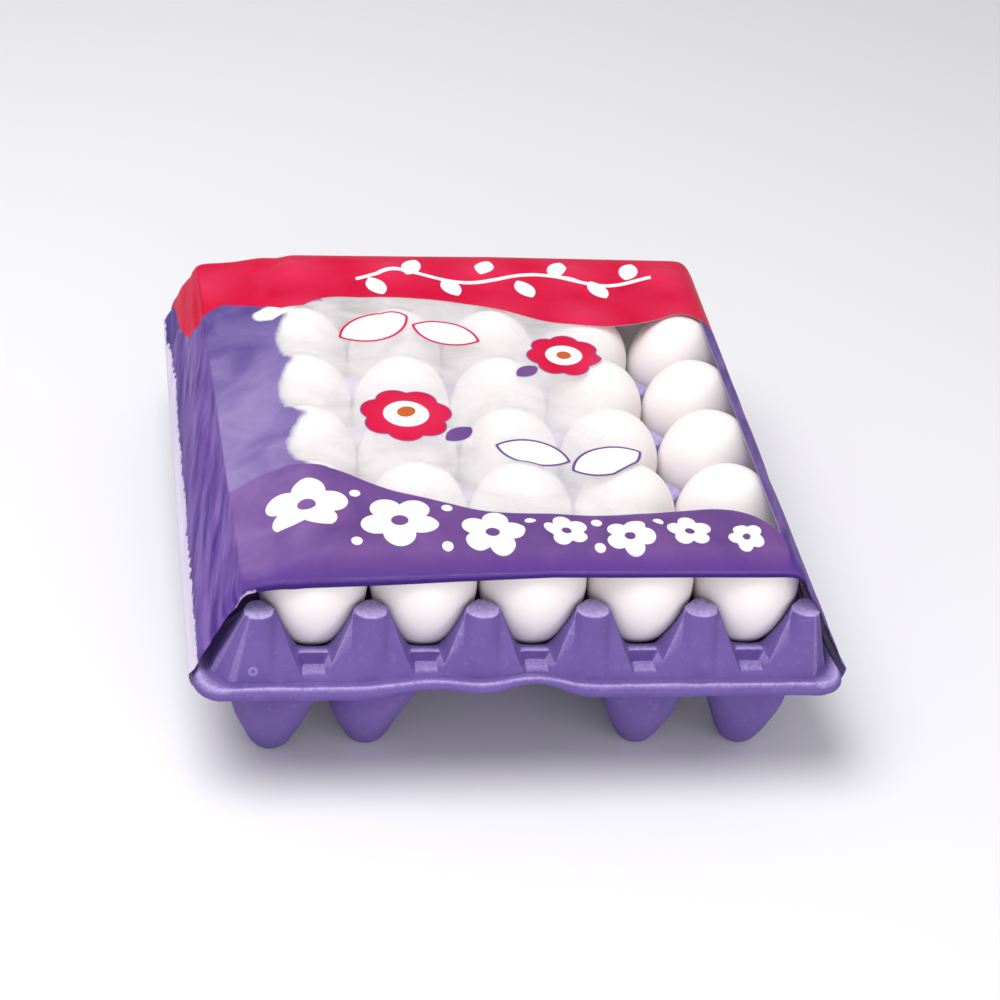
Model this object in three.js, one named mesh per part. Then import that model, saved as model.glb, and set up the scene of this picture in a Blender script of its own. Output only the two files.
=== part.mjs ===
// A tray of thirty eggs in a printed film sleeve.
// The tray is one moulded pulp shell of five by six cups, with a peak at every corner of a cup, a notch in the
// ridge between two peaks, sloping outer walls, a lipped flange and a foot under every cup. An egg stands in each
// cup, and a thin film runs over the eggs, down both sides and in under the flange, open at the front and the back.
// Units are millimetres, +Z is up, +X is to the right and +Y runs from the front to the back.
// The shapes are worked out from the middle of the bed of cups, with height 0 just below the tops of the peaks, and
// the whole group is then moved so that the origin lies under the middle of the object, at the level of the feet.
import * as THREE from "three";
import { mergeVertices } from "three/addons/utils/BufferGeometryUtils.js";

// The bed of cups
const COLUMNS = 5;
const ROWS = 6;
const PITCH_X = 47.6;
const PITCH_Y = 44;
const END_PULL = 2; // the front and the back line of peaks stand this much closer to their eggs

// Peaks and notches
const PEAK_TOP = 2;
const PEAK_RADIUS = 7.3;
const PEAK_CORNER = 5.6; // reach of a peak's flat top towards a cup's middle
const PEAK_DROP = 0.8;
const NOTCH_START = 16.2; // distance along the ridge from a peak's middle to the notch's flat
const NOTCH_DEPTH = 18;
const PEAK_SKIN = 3;
const NOTCH_SKIN = 6.5;

// A cup: radius and height of each ring of its wall, inside and outside
const CUP_SIDES = 8;
const MOUTH_AT_PEAK = { radius: 20.2, z: -13.5 };
const MOUTH_AT_NOTCH = { radius: 17.9, z: -20.5 };
const FOOT_DEPTH = 82;
const FOOT_FLAT = 5.2; // radius of the flat that a foot stands on
const CUP_INSIDE = [
  { radius: 17.6, z: -57 },
  { radius: 3, z: 2 - FOOT_DEPTH },
];
const CUP_OUTSIDE = [
  { radius: 20.6, z: -50 },
  { radius: 19.2, z: -58 },
  { radius: 11.8, z: 12 - FOOT_DEPTH },
  { radius: FOOT_FLAT, z: -FOOT_DEPTH },
];
const SHORT_CUP_DEPTH = 50; // the middle cup of the front and of the back row ends here, to leave room for fingers
const SPLAY = { from: 20, to: 55 }; // between these depths the cups lean outward, and below them they stand upright
const SPLAY_X = [-16.3, -18.5, 0, 6.4, 7]; // of each column's feet
const SPLAY_Y = 9; // of the front and the back row's feet

// The outer walls and the flange
const MARGIN = { left: 27, right: 19, front: 22, back: 23 }; // from the outer peaks to the edge of the flange
const CORNER_RADIUS = 13;
const FLANGE_WIDTH = 7;
const FLANGE_DEPTH = 26.2;
const LIP_INSET = 3;
const LIP_RISE = 1.2;
const EDGE_DROP = 1.5;
const EDGE_THICKNESS = 2;
const WALL_SKIN = 2.8;
const SHELF_FRACTIONS = [0.35, 0.6]; // where the wall's middle rows lie between the ridge and the flange
const RECESS = { front: 3, foot: 4.8, ledge: 11.6, depth: 4.9, ledgeDepth: 4.4 }; // under a notch, from the ridge
const ARCHES = [
  { x: -2, height: 9.2, halfWidth: 27 }, // finger grip in the middle of the front and the back
  { x: -45, height: 6.2, halfWidth: 34 },
];
// How much of an arch each line of the wall and the flange follows
const ARCH_SHARE = { ledge: 0.2, foot: 0.6, lip: 0.5, edge: 0.78, underside: 0.92 };

// Eggs
const EGG_RADIUS = { x: 22.4, y: 21.5 };
const EGG_HALF_HEIGHT = 30;
const EGG_CENTRE = -0.8;
const EGG_BLUNTNESS = 0.06; // how much wider the upper end is than the pointed one
const EGG_SIDES = 10;
const EGG_RINGS = 7;
const EGG_SIZE_SPREAD = 0.006;
const EGG_TILT = 0.035;
const EGG_SEED = 30;

// The film sleeve
const FILM = 0.7;
const FILM_TOP = 31.4;
const FOLD = { left: 125.5, right: 116.2, z: 16 }; // the creases between the top and the two sides
const HEM_HEIGHT = { left: 15.5, right: 20.5 }; // of the top's front and back hems
const CORNER_POWER = 6; // the higher, the sharper the corners between the creases and the hems
const FLARE = { fold: 21, rim: 16 }; // the left side stands out this much more at the back than at the front
const HEM = { front: -131, back: 139, sideFront: -138, sideBack: 148 };
const SIDE_BOW = 2.4; // the sides of the film bulge this far over the outer peaks
const RIM_CLEARANCE = 1.7;
const RIM_TURN = { top: 26.3, bottom: 30 }; // depths between which the film turns round the flange
const TUCK_LENGTH = 11;
const TUCK_DEPTH = 33.6;
const FILM_STEPS = [0, 0.03, 0.06, 0.1, 0.24, 0.42, 0.6, 0.78, 0.9, 0.95, 1]; // from the front hem to the back hem

const COLOUR = { pulp: 0x6a55a8, shell: 0xf4eff0, film: 0x7a4fa8 };

const BED_X = (COLUMNS * PITCH_X) / 2;
const BED_Y = (ROWS * PITCH_Y) / 2 - END_PULL;
const RIM = {
  left: -BED_X - MARGIN.left,
  right: BED_X + MARGIN.right,
  front: -BED_Y - MARGIN.front,
  back: BED_Y + MARGIN.back,
};

const columnX = (column) => (column - (COLUMNS - 1) / 2) * PITCH_X;
const rowY = (row) => (row - (ROWS - 1) / 2) * PITCH_Y;
const ridgeX = (line) => (line - COLUMNS / 2) * PITCH_X;
const mix = (a, b, t) => a + (b - a) * t;
const mixPoint = (a, b, t) => a.map((value, axis) => mix(value, b[axis], t));

function ridgeY(line) {
  const y = (line - ROWS / 2) * PITCH_Y;
  return THREE.MathUtils.clamp(y, -BED_Y, BED_Y);
}

// Triangles collected between rows of points, from which a closed geometry is made.
class Skin {
  constructor() {
    this.corners = [];
  }

  triangle(a, b, c) {
    const same = (p, q) => p.every((value, axis) => Math.abs(value - q[axis]) < 1e-4);
    if (!same(a, b) && !same(b, c) && !same(c, a)) this.corners.push(...a, ...b, ...c);
  }

  // A band between two rows of as many points, facing left of the way from one row to the next.
  band(rowA, rowB, closed) {
    const count = closed ? rowA.length : rowA.length - 1;
    for (let i = 0; i < count; i++) {
      const j = (i + 1) % rowA.length;
      this.triangle(rowA[i], rowA[j], rowB[j]);
      this.triangle(rowA[i], rowB[j], rowB[i]);
    }
  }

  fan(row, tip) {
    row.forEach((point, i) => this.triangle(point, row[(i + 1) % row.length], tip));
  }

  geometry() {
    const loose = new THREE.BufferGeometry();
    loose.setAttribute("position", new THREE.Float32BufferAttribute(this.corners, 3));
    return mergeVertices(loose, 1e-3);
  }
}

// The points of one ridge from peak to peak, without its last: where they lie along it and how deep they are.
function ridgeStations(length) {
  return [
    { along: 0, z: PEAK_TOP, kind: "peak" },
    { along: PEAK_RADIUS, z: PEAK_TOP - PEAK_DROP, kind: "shoulder" },
    { along: NOTCH_START, z: -NOTCH_DEPTH, kind: "notch" },
    { along: length - NOTCH_START, z: -NOTCH_DEPTH, kind: "notch" },
    { along: length - PEAK_RADIUS, z: PEAK_TOP - PEAK_DROP, kind: "shoulder" },
  ];
}

// The ridge from one corner of a cell to the next.
function ridge([x0, y0], [x1, y1]) {
  const length = Math.hypot(x1 - x0, y1 - y0);
  return ridgeStations(length).map(({ along, z, kind }) => ({
    x: mix(x0, x1, along / length),
    y: mix(y0, y1, along / length),
    z,
    kind,
  }));
}

const underside = ({ x, y, z, kind }) => [x, y, z - (kind === "notch" ? NOTCH_SKIN : PEAK_SKIN)];

const isShort = (column, row) => columnX(column) === 0 && (row === 0 || row === ROWS - 1);

// How far a cup's wall has moved towards the outside of the tray at a depth.
function splay(column, row, z) {
  if (isShort(column, row)) return [0, 0];
  const share = THREE.MathUtils.clamp((-z - SPLAY.from) / (SPLAY.to - SPLAY.from), 0, 1);
  const alongTray = row === 0 ? -SPLAY_Y : row === ROWS - 1 ? SPLAY_Y : 0;
  return [SPLAY_X[column] * share, alongTray * share];
}

// One cup with its four ridges: the inside faces up and the outside faces down.
function addCup(skin, column, row) {
  const [cx, cy] = [columnX(column), rowY(row)];
  const corners = [
    [ridgeX(column), ridgeY(row)],
    [ridgeX(column + 1), ridgeY(row)],
    [ridgeX(column + 1), ridgeY(row + 1)],
    [ridgeX(column), ridgeY(row + 1)],
  ];
  const edge = corners.flatMap((corner, i) => ridge(corner, corners[(i + 1) % 4]));
  const angles = edge.map(({ x, y }) => Math.atan2(y - cy, x - cx));
  const squeeze = isShort(column, row) ? (SHORT_CUP_DEPTH - SPLAY.from) / (FOOT_DEPTH - SPLAY.from) : 1;

  const ring = ({ radius, z }) => {
    const depth = (z + SPLAY.from) * squeeze - SPLAY.from;
    const [dx, dy] = splay(column, row, z);
    return angles.map((angle) => {
      const turn = (Math.round((angle / (2 * Math.PI)) * CUP_SIDES) * 2 * Math.PI) / CUP_SIDES;
      return [cx + dx + radius * Math.cos(turn), cy + dy + radius * Math.sin(turn), depth];
    });
  };
  const floor = ({ z }) => {
    const [dx, dy] = splay(column, row, z);
    return [cx + dx, cy + dy, (z + SPLAY.from) * squeeze - SPLAY.from];
  };

  const ridgeTop = edge.map(({ x, y, z }) => [x, y, z]);
  const peakRim = edge.map(({ x, y, z, kind }) => {
    const inward = kind === "peak" ? PEAK_CORNER / Math.hypot(cx - x, cy - y) : 0;
    return [mix(x, cx, inward), mix(y, cy, inward), kind === "peak" ? PEAK_TOP - PEAK_DROP : z];
  });
  const mouth = edge.map(({ kind }, i) => {
    const { radius, z } = kind === "notch" ? MOUTH_AT_NOTCH : MOUTH_AT_PEAK;
    return [cx + radius * Math.cos(angles[i]), cy + radius * Math.sin(angles[i]), z];
  });
  const inside = [ridgeTop, peakRim, mouth, ...CUP_INSIDE.map(ring)];
  inside.slice(1).forEach((row, i) => skin.band(inside[i], row, true));
  skin.fan(inside.at(-1), floor(CUP_INSIDE.at(-1)));

  const outside = [edge.map(underside), ...CUP_OUTSIDE.map(ring)];
  outside.slice(1).forEach((row, i) => skin.band(row, outside[i], true));
  skin.fan([...outside.at(-1)].reverse(), floor(CUP_OUTSIDE.at(-1)));
}

// The rise of the flange over the finger grips, at the front and at the back.
function archRise(x) {
  return ARCHES.reduce((rise, arch) => {
    const reach = Math.min(Math.abs(x - arch.x) / arch.halfWidth, 1);
    return rise + (arch.height * (1 + Math.cos(Math.PI * reach))) / 2;
  }, 0);
}

// The outermost ridge points all round the bed, each with the point of the flange's edge that it faces.
function wallColumns() {
  const sides = [
    { from: [-BED_X, -BED_Y], to: [BED_X, -BED_Y], count: COLUMNS, rim: (p) => [p.x, RIM.front], arched: true },
    { from: [BED_X, -BED_Y], to: [BED_X, BED_Y], count: ROWS, rim: (p) => [RIM.right, p.y] },
    { from: [BED_X, BED_Y], to: [-BED_X, BED_Y], count: COLUMNS, rim: (p) => [p.x, RIM.back], arched: true },
    { from: [-BED_X, BED_Y], to: [-BED_X, -BED_Y], count: ROWS, rim: (p) => [RIM.left, p.y] },
  ];
  const inset = [RIM.right - CORNER_RADIUS, RIM.left + CORNER_RADIUS];
  const cornerCentres = [
    [inset[0], RIM.front + CORNER_RADIUS],
    [inset[0], RIM.back - CORNER_RADIUS],
    [inset[1], RIM.back - CORNER_RADIUS],
    [inset[1], RIM.front + CORNER_RADIUS],
  ];
  return sides.flatMap((side, index) => {
    const lines = [...Array(side.count + 1).keys()];
    const node = (line) =>
      side.arched
        ? [side.from[0] + (Math.sign(side.to[0] - side.from[0]) * line * PITCH_X), side.from[1]]
        : [side.from[0], ridgeY(side.to[1] > side.from[1] ? line : ROWS - line)];
    const points = lines.slice(1).flatMap((line) => ridge(node(line - 1), node(line)));
    points.push({ x: side.to[0], y: side.to[1], z: PEAK_TOP, kind: "peak" });
    const straight = points.map((p) => ({ ...p, rim: side.rim(p), rise: side.arched ? archRise(p.x) : 0 }));
    const start = ((index - 1) * Math.PI) / 2;
    const corner = [0, 0.5, 1].map((share) => {
      const angle = start + (share * Math.PI) / 2;
      const [x, y] = cornerCentres[index];
      return {
        ...points.at(-1),
        rim: [x + CORNER_RADIUS * Math.cos(angle), y + CORNER_RADIUS * Math.sin(angle)],
        rise: 0,
      };
    });
    return [...straight, ...corner];
  });
}

// The sloping walls and the flange, all round the bed.
function addWalls(skin) {
  const columns = wallColumns();
  const rows = columns.map(({ x, y, z, kind, rim, rise }) => {
    const reach = Math.hypot(rim[0] - x, rim[1] - y);
    const at = (distance, height) => [mix(x, rim[0], distance / reach), mix(y, rim[1], distance / reach), height];
    const top = kind === "peak" ? at(PEAK_CORNER, PEAK_TOP - PEAK_DROP) : at(kind === "notch" ? RECESS.front : 0, z);
    const foot = at(reach - FLANGE_WIDTH, rise * ARCH_SHARE.foot - FLANGE_DEPTH);
    const shelf =
      kind === "notch"
        ? [
            at(RECESS.foot, z - RECESS.depth + rise * ARCH_SHARE.ledge),
            at(RECESS.ledge, z - RECESS.ledgeDepth + rise * ARCH_SHARE.ledge),
          ]
        : SHELF_FRACTIONS.map((share) => mixPoint(top, foot, share));
    const lip = at(reach - LIP_INSET, rise * ARCH_SHARE.lip - FLANGE_DEPTH + LIP_RISE);
    const edge = at(reach, rise * ARCH_SHARE.edge - FLANGE_DEPTH - EDGE_DROP);
    const lowEdge = at(reach, rise * ARCH_SHARE.underside - FLANGE_DEPTH - EDGE_DROP - EDGE_THICKNESS);
    const lowFoot = [foot[0], foot[1], foot[2] - WALL_SKIN];
    return [[x, y, z], top, ...shelf, foot, lip, edge, lowEdge, lowFoot, underside({ x, y, z, kind })];
  });
  const loops = rows[0].map((_, level) => rows.map((row) => row[level]));
  loops.slice(1).forEach((loop, i) => skin.band(loop, loops[i], true));
}

function trayGeometry() {
  const skin = new Skin();
  for (let row = 0; row < ROWS; row++) {
    for (let column = 0; column < COLUMNS; column++) addCup(skin, column, row);
  }
  addWalls(skin);
  return skin.geometry();
}

// Numbers between -1 and 1, the same on every run.
function seededDraw(seed) {
  let state = seed;
  return () => {
    state = (state * 1664525 + 1013904223) % 4294967296;
    return (state / 4294967296) * 2 - 1;
  };
}

function eggGeometry() {
  const profile = [];
  for (let i = 0; i <= EGG_RINGS; i++) {
    const angle = (i / EGG_RINGS - 0.5) * Math.PI;
    const height = Math.sin(angle);
    const radius = i % EGG_RINGS ? EGG_RADIUS.x * Math.cos(angle) * (1 + EGG_BLUNTNESS * height) : 0;
    profile.push(new THREE.Vector2(radius, EGG_HALF_HEIGHT * height));
  }
  const egg = new THREE.LatheGeometry(profile, EGG_SIDES);
  egg.deleteAttribute("normal");
  egg.deleteAttribute("uv");
  egg.rotateX(Math.PI / 2);
  egg.scale(1, EGG_RADIUS.y / EGG_RADIUS.x, 1);
  return mergeVertices(egg, 1e-3);
}

// Height of the film over the eggs: level over the bed, rounded down to the creases and the hems.
function filmHeight(x, y, fold) {
  const [eggX, eggY] = [columnX(COLUMNS - 1), rowY(ROWS - 1)];
  const hemHeight = mix(HEM_HEIGHT.left, HEM_HEIGHT.right, THREE.MathUtils.smoothstep(x, -eggX, 0));
  const reachFor = (width, height) => width / Math.sqrt(1 - (height / FILM_TOP) ** 2);
  const sideReach = reachFor((x < 0 ? fold.left : fold.right) - eggX, FOLD.z);
  const hemReach = reachFor((y < 0 ? -HEM.front : HEM.back) - eggY, hemHeight);
  const across = Math.max(0, Math.abs(x) - eggX) / sideReach;
  const along = Math.max(0, Math.abs(y) - eggY) / hemReach;
  const reach = (across ** CORNER_POWER + along ** CORNER_POWER) ** (1 / CORNER_POWER);
  return FILM_TOP * Math.sqrt(1 - reach ** 2);
}

// The outer face of the film at one place along the sleeve, from the left tuck over the top to the right tuck.
function filmSection(share) {
  const fold = { left: FOLD.left + FLARE.fold * share, right: FOLD.right };
  const rim = { left: -RIM.left + RIM_CLEARANCE + FLARE.rim * share, right: RIM.right + RIM_CLEARANCE };
  const topY = mix(HEM.front, HEM.back, share);
  const sideY = mix(HEM.sideFront, HEM.sideBack, share);
  const side = (sign, foldX, rimX) =>
    [
      [rimX - TUCK_LENGTH, -TUCK_DEPTH, 1],
      [rimX - 2, -TUCK_DEPTH, 1],
      [rimX, -RIM_TURN.bottom, 1],
      [rimX - 0.3, -RIM_TURN.top, 1],
      [mix(foldX, rimX, 0.66) + SIDE_BOW / 2, mix(FOLD.z, -RIM_TURN.top, 0.66), 0.66],
      [mix(foldX, rimX, 0.33) + SIDE_BOW, mix(FOLD.z, -RIM_TURN.top, 0.33), 0.33],
    ].map(([x, z, down]) => [sign * x, mix(topY, sideY, down), z]);
  const eggX = columnX(COLUMNS - 1);
  const spots = [
    ...[0, 0.3, 0.6].map((t) => mix(-fold.left, -eggX, t)),
    ...[-1, -0.5, 0, 0.5, 1].map((t) => t * eggX),
    ...[0.4, 0.7, 1].map((t) => mix(eggX, fold.right, t)),
  ];
  const top = spots.map((x) => [x, topY, filmHeight(x, topY, fold)]);
  return [...side(-1, fold.left, rim.left), ...top, ...side(1, fold.right, rim.right).reverse()];
}

function sleeveGeometry() {
  const outer = FILM_STEPS.map(filmSection);
  const vector = (a, b) => new THREE.Vector3(b[0] - a[0], b[1] - a[1], b[2] - a[2]);
  const inner = outer.map((section, i) =>
    section.map((point, j) => {
      const across = vector(section[Math.max(j - 1, 0)], section[Math.min(j + 1, section.length - 1)]);
      const along = vector(outer[Math.max(i - 1, 0)][j], outer[Math.min(i + 1, outer.length - 1)][j]);
      const inward = along.cross(across).normalize().multiplyScalar(FILM);
      return [point[0] + inward.x, point[1] + inward.y, point[2] + inward.z];
    }),
  );
  const skin = new Skin();
  outer.slice(1).forEach((section, i) => {
    skin.band(outer[i], section, false);
    skin.band(inner[i + 1], inner[i], false);
  });
  skin.band(inner[0], outer[0], false);
  skin.band(outer.at(-1), inner.at(-1), false);
  const edge = (sections, j) => sections.map((section) => section[j]);
  const last = outer[0].length - 1;
  skin.band(edge(outer, 0), edge(inner, 0), false);
  skin.band(edge(inner, last), edge(outer, last), false);
  return skin.geometry();
}

function mesh(name, geometry, colour, roughness) {
  const piece = new THREE.Mesh(geometry, new THREE.MeshStandardMaterial({ color: colour, roughness, metalness: 0 }));
  piece.name = name;
  return piece;
}

const carton = new THREE.Group();
carton.add(mesh("tray", trayGeometry(), COLOUR.pulp, 0.85));
const draw = seededDraw(EGG_SEED);
const eggShape = eggGeometry();
for (let row = 0; row < ROWS; row++) {
  for (let column = 0; column < COLUMNS; column++) {
    const egg = mesh(`egg_row${row + 1}_column${column + 1}`, eggShape, COLOUR.shell, 0.5);
    egg.position.set(columnX(column), rowY(row), EGG_CENTRE);
    egg.rotation.set(EGG_TILT * draw(), EGG_TILT * draw(), 0);
    egg.scale.set(1 + EGG_SIZE_SPREAD * draw(), 1 + EGG_SIZE_SPREAD * draw(), 1 + EGG_SIZE_SPREAD * draw());
    carton.add(egg);
  }
}
carton.add(mesh("sleeve", sleeveGeometry(), COLOUR.film, 0.3));

const bounds = new THREE.Box3().setFromObject(carton);
const middle = bounds.getCenter(new THREE.Vector3());
carton.position.set(-middle.x, -middle.y, -bounds.min.z);

export default carton;
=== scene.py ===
"""A moulded pulp tray with thirty white eggs in a printed film sleeve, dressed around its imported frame.

Lengths are millimetres in the tray maker's own coordinates: x to the right and y to the back from the middle of the
bed of cups, and height 0 just below the tops of the peaks. in_metres moves them into the frame.
"""

import math

import bpy
import numpy as np
from mathutils import Matrix, Vector, noise


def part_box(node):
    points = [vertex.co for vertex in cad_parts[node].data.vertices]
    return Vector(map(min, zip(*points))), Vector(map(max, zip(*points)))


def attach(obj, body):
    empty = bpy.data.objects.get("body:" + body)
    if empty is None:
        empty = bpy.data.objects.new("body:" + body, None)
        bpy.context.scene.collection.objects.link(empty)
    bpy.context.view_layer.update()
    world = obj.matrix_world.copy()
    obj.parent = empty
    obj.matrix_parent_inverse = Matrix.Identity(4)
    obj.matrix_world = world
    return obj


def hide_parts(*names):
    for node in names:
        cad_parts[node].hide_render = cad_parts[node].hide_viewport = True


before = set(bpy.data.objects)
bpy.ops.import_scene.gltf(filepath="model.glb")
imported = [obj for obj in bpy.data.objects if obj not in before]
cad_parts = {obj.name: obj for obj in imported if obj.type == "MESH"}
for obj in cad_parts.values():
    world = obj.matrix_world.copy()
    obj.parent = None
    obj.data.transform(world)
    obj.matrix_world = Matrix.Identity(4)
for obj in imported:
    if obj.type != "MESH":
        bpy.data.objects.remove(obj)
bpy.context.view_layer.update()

MM = 0.001

# The bed of cups
COLUMNS, ROWS = 5, 6
PITCH_X, PITCH_Y = 47.6, 44.0
END_PULL = 2.0
BED_X = COLUMNS * PITCH_X / 2
BED_Y = ROWS * PITCH_Y / 2 - END_PULL

# Peaks, notches and cups of the mould
TRAY_TOP, PEAK_TOP, PEAK_DROP = 2.0, 2.6, 0.7
PEAK_RADIUS, PEAK_CORNER, PEAK_FRONT = 7.3, 6.4, 5.6
NOTCH_START, NOTCH_DEPTH = 16.2, 18.7
PEAK_SKIN, NOTCH_SKIN = 3.0, 6.5
MOUTH_AT_PEAK, MOUTH_AT_NOTCH = (20.2, -13.5), (17.2, -20.2)
FOOT_DEPTH = 82.0
CUP_INSIDE = [(15.2, -57.0), (3.0, 2 - FOOT_DEPTH)]
CUP_OUTSIDE = [(20.3, -50.0), (18.0, -57.5), (15.4, -64.3), (12.9, -70.4), (10.4, -76.4), (8.2, -80.4), (5.6, -82.0)]
SHORT_CUP_DEPTH = 50.0
SPLAY_FROM, SPLAY_TO = 20.0, 55.0
SPLAY_X = [-16.7, -22.0, 0.0, 6.4, 7.0]
SPLAY_Y = [9.0, 6.2, 9.0, 8.0, 9.0]

# The outer walls and the flange
RIM_LEFT, RIM_RIGHT = -BED_X - 27, BED_X + 19
RIM_FRONT, RIM_BACK = -BED_Y - 22, BED_Y + 23
CORNER_RADIUS, CORNER_STEPS = 13.0, 10
STEEPER = (0, 0.08, 0.2, 0.45, 1), (0, 2.0, 4.2, 5.8, 6.5)  # how far the right side stands in, from front to back
FLANGE_WIDTH, FLANGE_DEPTH = 7.0, 26.2
LIP_INSET, LIP_RISE, EDGE_DROP, EDGE_THICKNESS, WALL_SKIN = 3.0, 1.2, 1.5, 2.0, 2.8
RECESS = {"front": 3.0, "foot": 4.8, "ledge": 11.6, "depth": 4.9, "ledge_depth": 4.4}
ARCHES = [(-2.0, 9.2, 27.0), (-45.0, 6.2, 34.0)]  # middle, height and half width
RING_MARK = (-120.8, -142.1, -20.9)
ARCH_SHARE = {"ledge": 0.2, "foot": 0.6, "lip": 0.5, "edge": 0.78, "underside": 0.92}

# Eggs
EGG_RADIUS_X, EGG_RADIUS_Y, EGG_HALF_HEIGHT = 23.3, 21.6, 30.0
EGG_CENTRE, EGG_BLUNTNESS = -0.8, 0.08
EGG_SIZE_SPREAD, EGG_TILT, EGG_SEED = 0.006, 0.035, 30

# The film sleeve
FILM_TOP = 31.4
FOLD_LEFT, FOLD_RIGHT, FOLD_Z = 125.5, 116.2, 16.0
HEM_HEIGHT_LEFT, HEM_HEIGHT_RIGHT = 14.0, 19.5
CORNER_POWER = 8
FLARE_FOLD, FLARE_RIM = 21.0, 16.0
HEM_FRONT, HEM_BACK, SIDE_FRONT, SIDE_BACK = -131.0, 139.0, -138.0, 148.0
SIDE_BOW, RIM_CLEARANCE, RIM_TURN = 1.8, 1.4, 26.3
SIDE_LENGTH = 46.0
TUCK_LENGTH, TUCK_DEPTH, TUCK_BEND, TUCK_TURN = 11.0, 33.6, 3.0, 0.35
FILM_SHEET, EGG_GAP = 0.25, 1.3
PRINT_LEFT, PRINT_RIGHT = -142.0, 120.0
OUTSIDE = -99.0  # an inside distance that is far outside a field of ink

tray_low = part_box("tray")[0]
BED_ORIGIN = np.array(tray_low) / MM - np.array([RIM_LEFT, RIM_FRONT, -FOOT_DEPTH])


def in_metres(points):
    return (np.asarray(points) + BED_ORIGIN) * MM


def mix(a, b, share):
    return a + (b - a) * share


def ease(value, low, high):
    """0 below low, 1 above high and a smooth rise between them."""
    share = np.clip((value - low) / (high - low), 0, 1)
    return share * share * (3 - 2 * share)


def column_x(column):
    return (column - (COLUMNS - 1) / 2) * PITCH_X


def row_y(row):
    return (row - (ROWS - 1) / 2) * PITCH_Y


def ridge_x(line):
    return (line - COLUMNS / 2) * PITCH_X


def ridge_y(line):
    return float(np.clip((line - ROWS / 2) * PITCH_Y, -BED_Y, BED_Y))


# ---------------------------------------------------------------- materials

def linear(colour):
    """An sRGB hex colour as linear red, green, blue and alpha."""
    parts = [int(colour[i:i + 2], 16) / 255 for i in (1, 3, 5)]
    return [c / 12.92 if c <= 0.04045 else ((c + 0.055) / 1.055) ** 2.4 for c in parts] + [1.0]


def add(tree, kind, feeds=None, **settings):
    """Adds a node with its settings and feeds its sockets with values or with other nodes' sockets."""
    node = tree.nodes.new(kind)
    for name, value in settings.items():
        setattr(node, name, value)
    for socket, value in (feeds or {}).items():
        if isinstance(value, bpy.types.NodeSocket):
            tree.links.new(value, node.inputs[socket])
        else:
            node.inputs[socket].default_value = value
    return node


def new_material(name):
    made = bpy.data.materials.new(name)
    made.use_nodes = True
    made.node_tree.nodes.clear()
    return made, made.node_tree


def grain(size):
    """Noise scale for a pattern with features of a size in millimetres, over coordinates in metres."""
    return 1 / (size * MM)


def violet_moulded_pulp():
    """Recycled paper pulp dyed in the vat, sucked onto a mesh mould and dried: matt and fibrous, cloudy where the dye
    took unevenly. A point attribute is above 0 where the pulp is paler, partly rubbed wear on its edges and partly a
    painted highlight on the peak tops, crests, corners, ledges and lip, and below 0 where shade is painted, in the
    pockets and on the edge of the flange."""
    made, tree = new_material("violet_moulded_pulp")
    place = add(tree, "ShaderNodeTexCoord").outputs["Object"]
    cloud = add(tree, "ShaderNodeTexNoise", {"Vector": place, "Scale": grain(24), "Detail": 3.0})
    fibre = add(tree, "ShaderNodeTexNoise",
                {"Vector": place, "Scale": grain(1.6), "Detail": 5.0, "Roughness": 0.65, "Distortion": 0.6})
    fleck = add(tree, "ShaderNodeTexNoise", {"Vector": place, "Scale": grain(3.2), "Detail": 2.0})
    wear_and_painted_light = add(tree, "ShaderNodeAttribute", attribute_name="wear_and_painted_light").outputs["Fac"]
    dyed = add(tree, "ShaderNodeMix", {0: cloud.outputs["Fac"], 6: linear("#5F4A8F"), 7: linear("#735D9F")},
               data_type="RGBA")
    flecks = add(tree, "ShaderNodeMapRange", {0: fleck.outputs["Fac"], 1: 0.58, 2: 0.74, 3: 0.0, 4: 0.25})
    flecked = add(tree, "ShaderNodeMix", {0: flecks.outputs[0], 6: dyed.outputs[2], 7: linear("#8875B0")},
                  data_type="RGBA")
    # the pale colour, roughened by the fibres: partly rubbed wear, partly a painted highlight
    uneven = add(tree, "ShaderNodeMath", {0: wear_and_painted_light, 1: fibre.outputs["Fac"]}, operation="MULTIPLY")
    rubbed_and_lit = add(tree, "ShaderNodeMapRange", {0: uneven.outputs[0], 1: 0.06, 2: 0.5, 3: 0.0, 4: 0.9})
    pale = add(tree, "ShaderNodeMix", {0: rubbed_and_lit.outputs[0], 6: flecked.outputs[2], 7: linear("#BAA8DE")},
               data_type="RGBA")
    # a small moulded ring on the first front peak
    away = add(tree, "ShaderNodeVectorMath", {0: place, 1: in_metres(RING_MARK)}, operation="DISTANCE")
    ring = add(tree, "ShaderNodeMath", {0: away.outputs["Value"], 1: 1.9 * MM, 2: 0.5 * MM}, operation="COMPARE")
    pale = add(tree, "ShaderNodeMix", {0: ring.outputs[0], 6: pale.outputs[2], 7: linear("#8A78B6")},
               data_type="RGBA")
    # painted shade: darker in the pockets and on the edge of the flange
    painted_shade = add(tree, "ShaderNodeMapRange", {0: wear_and_painted_light, 1: 0.0, 2: -1.0, 3: 0.0, 4: 1.0})
    colour = add(tree, "ShaderNodeMix", {0: painted_shade.outputs[0], 6: pale.outputs[2], 7: linear("#543C8A")},
                 data_type="RGBA")
    height = add(tree, "ShaderNodeMath", {0: fibre.outputs["Fac"], 1: fleck.outputs["Fac"]}, operation="ADD")
    bump = add(tree, "ShaderNodeBump", {"Height": height.outputs[0], "Strength": 0.25, "Distance": 0.4 * MM})
    shader = add(tree, "ShaderNodeBsdfPrincipled",
                 {"Base Color": colour.outputs[2], "Roughness": 0.88, "Specular IOR Level": 0.3,
                  "Normal": bump.outputs[0]})
    add(tree, "ShaderNodeOutputMaterial", {"Surface": shader.outputs[0]})
    return made


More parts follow.
